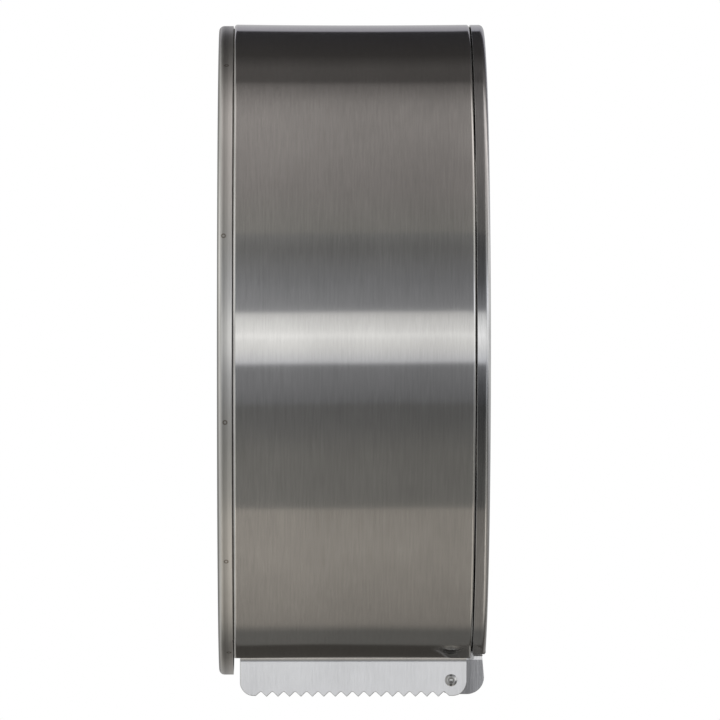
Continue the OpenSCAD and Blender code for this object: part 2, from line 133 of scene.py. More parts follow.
def fill(bm, *rings):
    """Flat face between closed rings: the first is its outline, the others are holes."""
    edges = [bm.edges.get((ring[i - 1], ring[i])) for ring in rings for i in range(len(ring))]
    bmesh.ops.triangle_fill(bm, edges=edges, use_beauty=True)


# Keeps the grain map of flat faces clear of the one that runs round the walls.
FLAT_APART = 5.0


def round_grain(bm, r):
    """Grain map of a part turned about the Y axis: U runs round it on its walls and straight up
    on its flat faces, V across, both in metres."""
    layer = bm.loops.layers.uv.new(GRAIN)
    for face in bm.faces:
        middle = face.calc_center_median()
        if abs(face.normal.y) > 0.8:
            for loop in face.loops:
                loop[layer].uv = (loop.vert.co.z + FLAT_APART, loop.vert.co.x)
            continue
        turn = math.atan2(-middle.x, -middle.z)
        for loop in face.loops:
            co = loop.vert.co
            step = math.atan2(-co.x, -co.z) - turn
            step = (step + math.pi) % (2 * math.pi) - math.pi
            loop[layer].uv = ((turn + step) * r, -co.y)


def flat_grain(bm, along, across):
    """Grain map of a flat part, in metres: U along the grain and V across it."""
    layer = bm.loops.layers.uv.new(GRAIN)
    along, across = Vector(along), Vector(across)
    for face in bm.faces:
        for loop in face.loops:
            loop[layer].uv = (loop.vert.co.dot(along), loop.vert.co.dot(across))


def even_shading(piece):
    """Weights the normals by face area, so that flat faces stay flat up to their softened edges."""
    piece.modifiers.new("weights", "WEIGHTED_NORMAL").keep_sharp = True
    done = piece.evaluated_get(bpy.context.evaluated_depsgraph_get())
    shaded = bpy.data.meshes.new_from_object(done)
    piece.modifiers.clear()
    piece.data = shaded


def make(name, bm, body, nodes, sharp=32, grain=None):
    """Ends a piece: merged, faces outwards, smooth below an angle, riding on its body."""
    bmesh.ops.remove_doubles(bm, verts=bm.verts, dist=1e-6)
    bmesh.ops.dissolve_degenerate(bm, edges=bm.edges, dist=1e-7)
    bmesh.ops.recalc_face_normals(bm, faces=bm.faces)
    bm.normal_update()
    if grain:
        grain(bm)
    mesh = bpy.data.meshes.new(name)
    bm.to_mesh(mesh)
    bm.free()
    mesh.shade_smooth()
    mesh.set_sharp_from_angle(angle=math.radians(sharp))
    piece = bpy.data.objects.new(name, mesh)
    bpy.context.scene.collection.objects.link(piece)
    even_shading(piece)
    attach(piece, body)
    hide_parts(*nodes)
    return piece


def turned_rings(bm, outline, turns, at=(0, 0, 0), shape=None, along=(0, -1, 0)):
    """Rings of vertices, one for each (radius, distance) point, turned about a line through at.
    Turns run from straight down, towards -X on a part that faces the front."""
    at, along = Vector(at), Vector(along)
    down = Vector((0, 0, -1))
    side = down.cross(along)
    rings = []
    for r, d in outline:
        ring = []
        for t in turns:
            reach, far = shape(r, d, t) if shape else (r, d)
            outwards = down * math.cos(t) + side * math.sin(t)
            ring.append(bm.verts.new(at + along * far + outwards * reach))
        rings.append(ring)
    return rings


def turned(bm, outline, steps, at=(0, 0, 0), along=(0, -1, 0)):
    """Open outline turned all the way round."""
    turns = [2 * math.pi * i / steps for i in range(steps)]
    rings = turned_rings(bm, outline, turns, at, along=along)
    bridge(bm, rings)
    return rings


def swept(bm, outline, start, end, steps, shape=None):
    """Closed (radius, depth) outline turned through part of a circle, with flat ends."""
    turns = [start + (end - start) * i / steps for i in range(steps + 1)]
    rings = turned_rings(bm, outline, turns, shape=shape)
    for j, a in enumerate(rings):
        b = rings[(j + 1) % len(rings)]
        for i in range(steps):
            bm.faces.new((a[i], a[i + 1], b[i + 1], b[i]))
    bm.faces.new([ring[0] for ring in rings])
    bm.faces.new([ring[-1] for ring in reversed(rings)])


# (inset, level) of the three rings that round a cut edge, as shares of its radius.
CUT_EDGE = ((1.0, 0.0), (0.3, 0.3), (0.0, 1.0))


def plate(outline, thickness, edge, holes=(), cuts=(), place=None):
    """Flat sheet part with softened edges, cut across for bending and then placed.
    Outline and holes are counter-clockwise (u, v) points; the sheet lies from w = 0 upwards."""
    bm = bmesh.new()
    levels = [(i * edge, w * edge) for i, w in CUT_EDGE]
    levels += [(i, thickness - w) for i, w in reversed(levels)]
    low, high = [], []
    for loop in (outline, *(hole[::-1] for hole in holes)):
        rings = [[bm.verts.new((*p, w)) for p in inset(loop, by)] for by, w in levels]
        bridge(bm, rings)
        low.append(rings[0])
        high.append(rings[-1])
    fill(bm, *low)
    fill(bm, *high)
    for v in cuts:
        bmesh.ops.bisect_plane(
            bm, geom=bm.verts[:] + bm.edges[:] + bm.faces[:], dist=1e-7,
            plane_co=(0, v, 0), plane_no=(0, 1, 0),
        )
    flat_grain(bm, (0, 1, 0), (1, 0, 0))
    if place:
        for vert in bm.verts:
            vert.co = place(*vert.co)
    return bm


# ---------------------------------------------------------------- materials

def node(tree, kind, **settings):
    """A new node; in_Name sets its input of that name, the others are its own settings."""
    made = tree.nodes.new(kind)
    for key, value in settings.items():
        if key.startswith("in_"):
            made.inputs[key[3:].replace("_", " ")].default_value = value
        else:
            setattr(made, key, value)
    return made


def link(tree, *pairs):
    """Links (node, output name) pairs to (node, input name or number) pairs."""
    for (a, out), (b, into) in pairs:
        tree.links.new(a.outputs[out], b.inputs[into])


def scaled(tree, source, output, scale):
    """Texture coordinates multiplied by a vector."""
    made = node(tree, "ShaderNodeVectorMath", operation="MULTIPLY")
    made.inputs[1].default_value = scale
    tree.links.new(source.outputs[output], made.inputs[0])
    return made


def pattern(tree, place, scale, detail=2.0, rough=0.5):
    """Noise on scaled coordinates, 0 to 1."""
    made = node(tree, "ShaderNodeTexNoise", in_Scale=1.0, in_Detail=detail, in_Roughness=rough)
    link(tree, ((scaled(tree, *place, scale), 0), (made, "Vector")))
    return made


def spread(tree, source, low, high, out_low, out_high, output="Fac"):
    """Maps a value's range to another, clamped."""
    made = node(tree, "ShaderNodeMapRange", in_From_Min=low, in_From_Max=high,
                in_To_Min=out_low, in_To_Max=out_high)
    link(tree, ((source, output), (made, "Value")))
    return made


def maths(tree, operation, a, b):
    """Math node on (node, output) pairs or plain numbers."""
    made = node(tree, "ShaderNodeMath", operation=operation)
    for i, value in enumerate((a, b)):
        if isinstance(value, tuple):
            tree.links.new(value[0].outputs[value[1]], made.inputs[i])
        else:
            made.inputs[i].default_value = value
    return made


def along_y(tree, objects):
    """A part's own Y coordinate, which is minus the depth, as a node and its output."""
    split = node(tree, "ShaderNodeSeparateXYZ")
    link(tree, ((objects, "Object"), (split, 0)))
    return split, "Y"


def laid_over(tree, below, colour, mask):
    """A plain colour mixed over another by a mask."""
    made = node(tree, "ShaderNodeMix", data_type="RGBA")
    made.inputs["B"].default_value = (*colour, 1)
    link(tree, (below, (made, "A")), (mask, (made, "Factor")))
    return made, "Result"


def fill_ramp(ramp, stops):
    """Gives a colour ramp its (position, colour) stops."""
    for i, (position, colour) in enumerate(stops):
        stop = ramp.elements[i] if i < 2 else ramp.elements.new(1.0)
        stop.position = position
        stop.color = (*colour, 1)


def end_wear(tree, y, cloud, back, front):
    """Mask of the rubbed strips at the two ends of a depth range, broken up by a cloud."""
    middle, half = -(back + front) / 2, (front - back) / 2
    offset = maths(tree, "SUBTRACT", y, middle)
    reach = maths(tree, "ABSOLUTE", (offset, 0), 0)
    rub = spread(tree, reach, half - 1.6 * MM, half - 0.2 * MM, 0.0, 1.0, 0)
    broken = spread(tree, cloud, 0.35, 0.6, 0.25, 1.0)
    return maths(tree, "MULTIPLY", (rub, 0), (broken, 0)), 0


def weld_mark(tree, place, u, v):
    """Mask of the stained ring round a spot weld."""
    away = node(tree, "ShaderNodeVectorMath", operation="DISTANCE")
    away.inputs[1].default_value = (u, v, 0)
    link(tree, (place, (away, 0)))
    ring = spread(tree, away, 0.35 * MM, 0.75 * MM, 0.0, 1.0, "Value")
    fade = spread(tree, away, 0.8 * MM, 1.3 * MM, 1.0, 0.0, "Value")
    mask = maths(tree, "MULTIPLY", (ring, 0), (fade, 0))
    return maths(tree, "MULTIPLY", (mask, 0), 0.8), 0


def painted_shade_by_depth(tree, below, y, painted_shade):
    """Painted shade: a colour dimmed by depth, from a list of (depth in mm, share of brightness)."""
    reach = painted_shade[-1][0]
    share = node(tree, "ShaderNodeValToRGB")
    share.color_ramp.interpolation = "EASE"
    fill_ramp(share.color_ramp, [(depth / reach, (keep, keep, keep)) for depth, keep in painted_shade])
    made = node(tree, "ShaderNodeMix", data_type="RGBA", blend_type="MULTIPLY", in_Factor=1.0)
    link(tree, ((spread(tree, y[0], 0.0, -reach * MM, 0.0, 1.0, y[1]), 0), (share, 0)),
         (below, (made, "A")), ((share, 0), (made, "B")))
    return made, "Result"


def steel(name, colour, rough, anisotropy=0.0, mapped=True, streak=1.0, mottle=1.0, metal=1.0,
          worn=None, marks=(), polished=None, painted_shade=()):
    """Brushed stainless steel. On a mapped part the grain follows U; elsewhere it runs along Z.
    worn is a depth range whose two ends are rubbed brighter; marks are (u, v) weld spots;
    polished is (depth, roughness): the part behind that depth is smoother; painted_shade lists
    (depth in mm, share of brightness) from the wall forwards, shade painted into the colour."""
    made = bpy.data.materials.new(name)
    made.use_nodes = True
    tree = made.node_tree
    shader = tree.nodes["Principled BSDF"]
    shader.inputs["Metallic"].default_value = metal
    shader.inputs["Roughness"].default_value = rough
    objects = node(tree, "ShaderNodeTexCoord")
    if mapped:
        place = (node(tree, "ShaderNodeUVMap", uv_map=GRAIN), "UV")
        fine_scale, coarse_scale = (190, 3400, 0), (55, 1150, 0)
    else:
        place = (objects, "Object")
        fine_scale, coarse_scale = (1700, 1700, 60), (520, 520, 24)
    fine = pattern(tree, place, fine_scale, 3.0, 0.6)
    coarse = pattern(tree, place, coarse_scale, 2.0, 0.55)
    cloud = pattern(tree, (objects, "Object"), (38, 38, 38), 3.0, 0.55)

    # Brightness: grain lines, broader streaks and a faint cloudiness from handling.
    lines = spread(tree, fine, 0.3, 0.7, 1 - 0.09 * streak, 1 + 0.07 * streak)
    bands = spread(tree, coarse, 0.3, 0.7, 1 - 0.07 * streak, 1 + 0.05 * streak)
    patches = spread(tree, cloud, 0.3, 0.7, 1 - 0.035 * mottle, 1 + 0.03 * mottle)
    value = maths(tree, "MULTIPLY", (lines, 0), (bands, 0))
    value = maths(tree, "MULTIPLY", (value, 0), (patches, 0))
    base = node(tree, "ShaderNodeMix", data_type="RGBA")
    base.inputs["A"].default_value = (*(c * 0.8 for c in colour), 1)
    base.inputs["B"].default_value = (*(min(1, c * 1.2) for c in colour), 1)
    link(tree, ((spread(tree, value, 0.8, 1.2, 0.0, 1.0, 0), 0), (base, "Factor")))
    tint = (base, "Result")

    ripple = 0.06 * streak
    gloss = (spread(tree, coarse, 0.3, 0.7, rough * (1 - ripple), rough * (1 + ripple)), 0)
    y = along_y(tree, objects)
    if polished:
        edge, smooth = polished
        dull = spread(tree, y[0], -edge, -edge + 1.2 * MM, 1.0, smooth / rough, y[1])
        gloss = (maths(tree, "MULTIPLY", gloss, (dull, 0)), 0)
    if worn:
        rub = end_wear(tree, y, cloud, *worn)
        tint = laid_over(tree, tint, [min(1, c * 1.3) for c in colour], rub)
        smooth = maths(tree, "MULTIPLY", rub, -0.35 * rough)
        gloss = (maths(tree, "ADD", gloss, (smooth, 0)), 0)
    for u, v in marks:
        tint = laid_over(tree, tint, WELD_STAIN, weld_mark(tree, place, u, v))
    # Painted shade: the colour dimmed by depth from the wall.
    if painted_shade:
        tint = painted_shade_by_depth(tree, tint, y, painted_shade)
    link(tree, (tint, (shader, "Base Color")), (gloss, (shader, "Roughness")))

    height = maths(tree, "ADD", (fine, "Fac"), (coarse, "Fac"))
    bump = node(tree, "ShaderNodeBump", in_Strength=0.12 * streak, in_Distance=0.02 * MM)
    link(tree, ((height, 0), (bump, "Height")), ((bump, "Normal"), (shader, "Normal")))
    if anisotropy:
        shader.inputs["Anisotropic"].default_value = anisotropy
        shader.inputs["Anisotropic Rotation"].default_value = 0.25
        tangent = node(tree, "ShaderNodeTangent", direction_type="UV_MAP", uv_map=GRAIN)
        link(tree, ((tangent, 0), (shader, "Tangent")))
    return made


def plain(name, colour, rough, metal, grit):
    """Moulded, plated or rubber surface: slight mottling, fine bump and rubbed patches."""
    made = bpy.data.materials.new(name)
    made.use_nodes = True
    tree = made.node_tree
    shader = tree.nodes["Principled BSDF"]
    shader.inputs["Metallic"].default_value = metal
    objects = node(tree, "ShaderNodeTexCoord")
    fine = pattern(tree, (objects, "Object"), (grit, grit, grit), 2.0, 0.5)
    cloud = pattern(tree, (objects, "Object"), (90, 90, 90), 4.0, 0.6)
    base = node(tree, "ShaderNodeMix", data_type="RGBA")
    base.inputs["A"].default_value = (*(c * 0.88 for c in colour), 1)
    base.inputs["B"].default_value = (*(min(1, c * 1.08) for c in colour), 1)
    link(tree, ((spread(tree, cloud, 0.3, 0.7, 0.0, 1.0), 0), (base, "Factor")),
         ((base, "Result"), (shader, "Base Color")))
    link(tree, ((spread(tree, cloud, 0.3, 0.7, rough * 0.8, min(1, rough * 1.2)), 0),
                (shader, "Roughness")))
    bump = node(tree, "ShaderNodeBump", in_Strength=0.2, in_Distance=0.03 * MM)
    link(tree, ((fine, "Fac"), (bump, "Height")), ((bump, "Normal"), (shader, "Normal")))
    return made


WELD_STAIN = (0.16, 0.12, 0.075)

# Spot welds round the back plate's rim, on either side: (elevation in degrees, depth in mm).
WELDS = ((59.3, 3.8), (19.8, 2.9), (-12.4, 3.6), (-39.2, 3.9), (-66.6, 4.8))
WELD_SPOTS = [(side * math.radians(90 + e) * PAN_R, d * MM) for e, d in WELDS for side in (1, -1)]

# Painted shade on the pan's steel: how much of its brightness it keeps, by depth in mm from the wall: its
# flat rear face almost all, its rim less towards the wall and beside the gap, where shade and dark
# reflections are painted in.
RIM_PAINTED_SHADE = ((0.0, 0.95), (0.12, 0.32), (0.5, 0.42), (1.1, 1.0), (1.9, 0.86), (3.0, 0.62), (4.0, 0.72),
               (5.2, 0.92), (6.2, 1.0))
# Painted shade for the hinge ears in the same way: dimmer beside the blades, standing for the blades' shadow
# on them.
EAR_PAINTED_SHADE = ((100.0, 0.62), (113.0, 0.72), (117.0, 0.92), (121.2, 1.0))
# Painted light and shade for the drum's wall in the same way: a little brighter towards the wall, dimmer
# towards the front.
WALL_PAINTED_SHADE = ((0.0, 1.0), (20.0, 1.0), (60.0, 0.92), (100.0, 0.87), (125.0, 0.90))

drum_steel = steel("drum_steel", (0.65, 0.641, 0.623), 0.15, 1.0, streak=0.45, mottle=1.2,
                   worn=(DRUM_BACK, DRUM_FRONT), painted_shade=WALL_PAINTED_SHADE)
pan_steel = steel("pan_steel", (0.83, 0.82, 0.79), 0.36, 0.6, streak=0.5, marks=WELD_SPOTS,
                  painted_shade=RIM_PAINTED_SHADE)
# Painted shade: the joining strip's steel is made dark to stand for the shade in the narrow gap between the
# drum and the pan.
strip_steel_painted_shade = steel("strip_steel_painted_shade", (0.22, 0.215, 0.21), 0.5, 0.3, streak=0.6)
cover_steel = steel("cover_steel", (0.60, 0.60, 0.60), 0.22, 0.7, streak=1.0, mottle=1.2,
                    polished=(COVER_FRONT - 1.5 * MM, 0.10))
blade_steel = steel("blade_steel", (0.84, 0.84, 0.835), 0.26, 0.9, streak=0.5, mottle=1.8)
ear_steel = steel("ear_steel", (0.76, 0.76, 0.765), 0.22, streak=1.6, mottle=2.2, painted_shade=EAR_PAINTED_SHADE)
inner_steel = steel("inner_steel", (0.66, 0.655, 0.64), 0.40, mapped=False, metal=0.72)
bright_steel = steel("bright_steel", (0.66, 0.66, 0.65), 0.17, mapped=False, streak=0.4)
rivet_steel = steel("rivet_steel", (0.52, 0.517, 0.505), 0.10, mapped=False, streak=0.15)
chrome = plain("chrome", (0.78, 0.78, 0.80), 0.09, 1.0, 900)
white_plastic = plain("white_plastic", (0.78, 0.78, 0.755), 0.42, 0.0, 2400)
grey_plastic = plain("grey_plastic", (0.19, 0.195, 0.20), 0.45, 0.0, 2400)
black_rubber = plain("black_rubber", (0.022, 0.022, 0.022), 0.75, 0.0, 1500)

SLOT_MATERIAL = {
    "brushed_steel": inner_steel,
    "cover_steel": inner_steel,
    "blade_steel": inner_steel,
    "fastener_steel": bright_steel,
    "chromed_zinc": chrome,
    "white_plastic": white_plastic,
    "grey_plastic": grey_plastic,
    "black_rubber": black_rubber,
}


def paint(piece, material):
    piece.data.materials.clear()
    piece.data.materials.append(material)


for part in frame["record"]["subparts"]:
    kept = frame["nodes"][part["node"]]
    paint(kept, SLOT_MATERIAL[part["material_slot"]])


# ---------------------------------------------------------------- drum

# Sheet-metal irregularities of the drum wall.
DRUM_HOLLOW = 0.35 * MM
DRUM_TWIST = 0.45 * MM
DENT_DEPTH, DENT_R = 0.03 * MM, 4.2 * MM
DENT_AT = (math.radians(27.4), DRUM_FRONT - 10 * MM)


def drum_shape(r, d, t):
    """A little hollow between its ends, twisted, and wavy towards the mouth, as rolled sheet is."""
    along = (d - DRUM_MID) / DRUM_HALF
    rise = t - math.pi / 2
    low = max(0.0, math.cos(t)) ** 4
    ripple = noise.noise(Vector((t * 4.0, d * 22.0, 0.0)))
    ripple += 0.5 * noise.noise(Vector((t * 9.0, d * 45.0, 5.0)))
    dent = math.hypot((t - DENT_AT[0]) * DRUM_R, d - DENT_AT[1]) / DENT_R
    bend = (
        -DRUM_HOLLOW * (1 - along * along)
        - DRUM_TWIST * 0.5 * (1 - along * math.sin(2 * rise + 0.17))
        + (0.02 + 0.05 * low) * MM * ripple * (1 - along**6)
        - DENT_DEPTH * math.exp(-dent * dent)
    )
    return r + min(0.0, bend + DRUM_TWIST * 0.4), d


def build_drum():
    curl_in = DRUM_R - EDGE_R
    back, front = DRUM_BACK + EDGE_R, DRUM_FRONT - EDGE_R
    inner_r = EDGE_R - SHEET
    outline = (
        arc(curl_in, back, EDGE_R, -90, 0, 8)
        + line((DRUM_R, back), (DRUM_R, front), 40)[1:]
        + arc(curl_in, front, EDGE_R, 0, 90, 8)
        + arc(curl_in, front, inner_r, 90, 0, 5)
        + line((DRUM_R - SHEET, front), (DRUM_R - SHEET, back), 40)[1:]
        + arc(curl_in, back, inner_r, 0, -90, 5)
    )
    bm = bmesh.new()
    # Swept a little past the mouth and then cut off level.
    start = MOUTH_ANGLE - math.radians(1.2)
    swept(bm, outline, start, 2 * math.pi - start, 480, drum_shape)
    bmesh.ops.remove_doubles(bm, verts=bm.verts, dist=1e-6)
    cut = bmesh.ops.bisect_plane(
        bm, geom=bm.verts[:] + bm.edges[:] + bm.faces[:], dist=1e-7,
        plane_co=(0, 0, MOUTH_Z), plane_no=(0, 0, -1), clear_outer=True,
    )
    edges = [e for e in cut["geom_cut"] if isinstance(e, bmesh.types.BMEdge)]
    bmesh.ops.edgeloop_fill(bm, edges=edges)
    piece = make("drum_shell", bm, "housing", ["drum_wall"],
                 grain=lambda b: round_grain(b, DRUM_R))
    paint(piece, drum_steel)


def build_joining_ring():
    narrow, wide = PAN_R - BACK_T, DRUM_R - SHEET
    step = DRUM_BACK + EDGE_R
    soft = 0.3 * MM
    outline = [
        (narrow - SHEET, JOIN_BACK), (narrow, JOIN_BACK), (narrow, step - soft),
        (narrow + soft, step), (wide - soft, step), (wide, step + soft), (wide, JOIN_FRONT),
        (wide - SHEET, JOIN_FRONT), (wide - SHEET, step + SHEET), (narrow - SHEET, step + SHEET),
    ]
    start = MOUTH_ANGLE + math.radians(6.5)
    bm = bmesh.new()
    swept(bm, outline, start, 2 * math.pi - start, 240)
    piece = make("joining_strip", bm, "housing", ["joining_ring"],
                 grain=lambda b: round_grain(b, DRUM_R))
    # Dark steel that paints the shade of the gap between the drum and the pan.
    paint(piece, strip_steel_painted_shade)


def build_back_plate():
    """Pressed pan: rim, flat with four screw holes, and a raised boss."""
    bend_in = PAN_R - BACK_BEND
    soft = 0.15 * MM
    guard = 0.5 * MM
    # The flat between the rim and the boss is filled from this radius in and from the other out.
    rim_end, boss_end = 130 * MM, 60 * MM
    rim = (
        [(rim_end, 0), (bend_in - guard, 0)]
        + arc(bend_in, BACK_BEND, BACK_BEND, -90, 0, 10)
        + line((PAN_R, BACK_BEND), (PAN_R, PAN_H - soft), 4)[1:]
        + arc(PAN_R - soft, PAN_H - soft, soft, 0, 90, 3)
        + arc(PAN_R - BACK_T + soft, PAN_H - soft, soft, 90, 180, 3)
        + arc(bend_in, BACK_BEND, BACK_BEND - BACK_T, 0, -90, 6)
        + [(bend_in - guard, BACK_T), (rim_end, BACK_T)]
    )
    boss_r, foot_r, rise = 36 * MM, 40 * MM, 2.6 * MM
    rear_boss = [(boss_end, 0), (foot_r + 1 * MM, 0), (foot_r, soft),
                 (boss_r + 0.3 * MM, rise - soft), (boss_r - 1 * MM, rise), (0, rise)]
    front_boss = [(r, BACK_T + d) for r, d in rear_boss]
    bm = bmesh.new()
    rim_rings = turned(bm, rim, 360)
    rear_rings = turned(bm, rear_boss, 120)
    front_rings = turned(bm, front_boss, 120)
    low, high = [], []
    hole_edge = 0.2 * MM
    hole_r, pitch = 3.25 * MM, 140 * MM
    hole = [(hole_r + hole_edge, 0), (hole_r, hole_edge), (hole_r, BACK_T - hole_edge),
            (hole_r + hole_edge, BACK_T)]
    for x in (-pitch / 2, pitch / 2):
        for z in (-pitch / 2, pitch / 2):
            rings = turned(bm, hole, 40, at=(x, 0, z))
            low.append(rings[0])
            high.append(rings[-1])
    fill(bm, rim_rings[0], rear_rings[0], *low)
    fill(bm, rim_rings[-1], front_rings[0], *high)
    piece = make("back_pan", bm, "housing", ["back_plate"],
                 grain=lambda b: round_grain(b, PAN_R))
    paint(piece, pan_steel)


# ---------------------------------------------------------------- cover

COVER_CORNER_R = 4.0 * MM
FLAT_BEND = 1.0 * MM


def flat_inset(by, d, skin):
    """How far in a point of the rim's section lies on the flat, where the bend is tighter."""
    if d < COVER_FRONT - COVER_BEND:
        return by
    if by > COVER_BEND:
        return by - COVER_BEND + FLAT_BEND
    bend = FLAT_BEND - skin
    rise = min(1.0, max(0.0, (d - COVER_FRONT + FLAT_BEND) / bend))
    return skin + bend * (1 - math.sqrt(1 - rise * rise))


def cover_loop(by, flat_by):
    """The cover's outline in the front view as (x, z): a circle and a flat, each moved inwards."""
    fz = COVER_FLAT_Z + COVER_CORNER_R
    fx = math.sqrt((COVER_R - COVER_CORNER_R) ** 2 - fz * fz)
    lean = math.atan2(fz, fx)
    corner, steps = [], 12
    for i in range(steps + 1):
        share = i / steps
        r = COVER_CORNER_R - by * (1 - share) - flat_by * share
        a = lean - (math.pi / 2 + lean) * share
        corner.append((fx + r * math.cos(a), fz + r * math.sin(a)))
    mirrored = [(-x, z) for x, z in corner]
    return (
        arc(0, 0, COVER_R - by, math.degrees(lean), 180 - math.degrees(lean), 400)
        + mirrored[1:]
        + line(mirrored[-1], corner[-1], 24)[1:]
        + corner[-2:0:-1]
    )


def build_cover():
    front, inside = COVER_FRONT, COVER_FRONT - SHEET
    bend_at = COVER_FRONT - COVER_BEND
    soft = 0.15 * MM
    outer = (
        [(COVER_BEND + 0.6 * MM, front), (COVER_BEND + 0.1 * MM, front)]
        + arc(COVER_BEND, bend_at, COVER_BEND, 90, 180, 12)
        + line((0, bend_at), (0, COVER_BACK + soft), 4)[1:]
        + arc(soft, COVER_BACK + soft, soft, 180, 270, 3)
    )
    inner = (
        arc(SHEET - soft, COVER_BACK + soft, soft, 270, 360, 3)
        + arc(COVER_BEND, bend_at, COVER_BEND - SHEET, 180, 90, 6)
        + [(COVER_BEND + 0.6 * MM, inside)]
    )
    bm = bmesh.new()
    rings = [
        [bm.verts.new((x, -d, z)) for x, z in cover_loop(by, flat_inset(by, d, skin))]
        for skin, section in ((0, outer), (SHEET, inner))
        for by, d in section
    ]
    bridge(bm, rings)
    floor, hole_r, dish_r = front - 2 * MM, 8.05 * MM, 12.5 * MM
    dish = turned(bm, [
        (dish_r + 2.3 * MM, front), (dish_r + 1.8 * MM, front), (dish_r + 1.5 * MM, front - 0.12 * MM),
        (dish_r + 0.15 * MM, floor + 0.2 * MM), (dish_r - 0.2 * MM, floor), (dish_r - 0.7 * MM, floor),
        (hole_r, floor), (hole_r, floor - SHEET), (dish_r + 0.5 * MM, floor - SHEET),
        (dish_r + 1.0 * MM, floor - SHEET + 0.2 * MM), (dish_r + 2.2 * MM, inside - 0.12 * MM),
        (dish_r + 2.6 * MM, inside), (dish_r + 3.1 * MM, inside),
    ], 120, at=(0, 0, LOCK_Z))
    slot_r, slot_half, slot_z = 4 * MM, 28 * MM, -76 * MM
    slot = []
    for by, d in ((soft, front), (0, front - soft), (0, inside + soft), (soft, inside)):
        loop = (
            arc(0, slot_z + slot_half, slot_r + by, 0, 180, 24)
            + arc(0, slot_z - slot_half, slot_r + by, 180, 360, 24)
        )
        slot.append([bm.verts.new((x, -d, z)) for x, z in loop])
    bridge(bm, slot)
    fill(bm, rings[0], dish[0], slot[0])
    fill(bm, rings[-1], dish[-1], slot[-1])
    piece = make("cover_shell", bm, "front_cover", ["cover_panel"], sharp=24,
                 grain=lambda b: round_grain(b, COVER_R))
    paint(piece, cover_steel)


# ---------------------------------------------------------------- tear blades

BLADE_BEND = 2.6 * MM
BLADE_EDGE = 0.28 * MM
TOOTH_PITCH = 5.2 * MM
TOOTH_H = 2.1 * MM
NOTCHES = 17
BLADE_OUTER_X = BLADE_INNER_X + BLADE_T
FLANGE_R = DRUM_R - SHEET
BEND_X = BLADE_OUTER_X + BLADE_BEND
BEND_ANGLE = math.asin(BEND_X / (FLANGE_R + BLADE_BEND))
BEND_Z = -(FLANGE_R + BLADE_BEND) * math.cos(BEND_ANGLE)
BEND_RUN = BLADE_BEND * (math.pi / 2 - BEND_ANGLE)
FLANGE_ANGLE = math.radians(5)
FLANGE_RUN = FLANGE_ANGLE * FLANGE_R


def blade_place(side):
    """Bends a flat blade: (depth, height above the bend line, distance in from its outer face)."""
    def place(u, v, w):
        if v <= 0:
            x, z = BLADE_OUTER_X - w, BEND_Z + v
        elif v <= BEND_RUN:
            a = math.pi - v / BLADE_BEND
            x, z = BEND_X + (BLADE_BEND + w) * math.cos(a), BEND_Z + (BLADE_BEND + w) * math.sin(a)
        else:
            a = BEND_ANGLE + (v - BEND_RUN) / FLANGE_R
            x, z = (FLANGE_R - w) * math.sin(a), -(FLANGE_R - w) * math.cos(a)
        return (side * x, -u, z)
    return place


def build_blades():
    tip = TIP_Z - BEND_Z
    heel = tip + 0.3 * MM
    valley_r, corner_r = 0.75 * MM, 6.2 * MM
    valley = tip + TOOTH_H - valley_r
    half = TOOTH_PITCH / 2 - 0.14 * MM
    first = BLADE_BACK + 9.5 * MM
    top = BEND_RUN + FLANGE_RUN
    lean = math.degrees(math.atan2(tip - valley, half) + math.acos(valley_r / math.hypot(half, valley - tip)))
    outline = [(BLADE_BACK, top)] + arc(BLADE_BACK + corner_r, heel + corner_r, corner_r, 180, 270, 14)
    outline.append((first - half + 0.2 * MM, heel))
    for i in range(NOTCHES):
        middle = first + i * TOOTH_PITCH
        if i:
            outline.append((middle - half, tip))
        outline += arc(middle, valley, valley_r, 180 - lean, lean, 10)
        if i < NOTCHES - 1:
            outline.append((middle + half, tip))
    outline.append((middle + half - 0.2 * MM, heel))
    outline += arc(BLADE_FRONT - corner_r, heel + corner_r, corner_r, 270, 360, 14)
    outline.append((BLADE_FRONT, top))
    hole = arc(-PIVOT.y, PIVOT.z - BEND_Z, 1.6 * MM, 0, 345, 23)
    cuts = [-0.4 * MM] + [BEND_RUN * i / 14 for i in range(15)]
    cuts += [BEND_RUN + FLANGE_RUN * i / 6 for i in range(1, 6)]
    for side, name in ((1, "blade_right"), (-1, "blade_left")):
        bm = plate(outline, BLADE_T, BLADE_EDGE, [hole], cuts, blade_place(side))
        piece = make("tear_" + name, bm, "housing", [name], sharp=16)
        # The drum's lower edge mirrors the dark ground below rather than the blade.
        piece.visible_glossy = False
        paint(piece, blade_steel)


# ---------------------------------------------------------------- hinge

EAR_OUTER_X = EAR_HIGH.x
BRACKET_T = 1.0 * MM
BRACKET_BEND = 1.2 * MM
# The ear leans out a little just below its bend and then in, as a bent sheet springs.
LIP_RUN = 1.5 * MM
LIP_LEAN, EAR_LEAN = math.tan(math.radians(3.2)), math.tan(math.radians(2.6))
BRACKET_FLAT_X = EAR_OUTER_X - BRACKET_BEND - LIP_RUN * LIP_LEAN
BRACKET_RUN = BRACKET_BEND * math.pi / 2


def ear_lean(drop):
    """How far the ear's outer face lies inside its outermost point, at a distance below its bend."""
    return (LIP_RUN - drop) * LIP_LEAN if drop < LIP_RUN else (drop - LIP_RUN) * EAR_LEAN


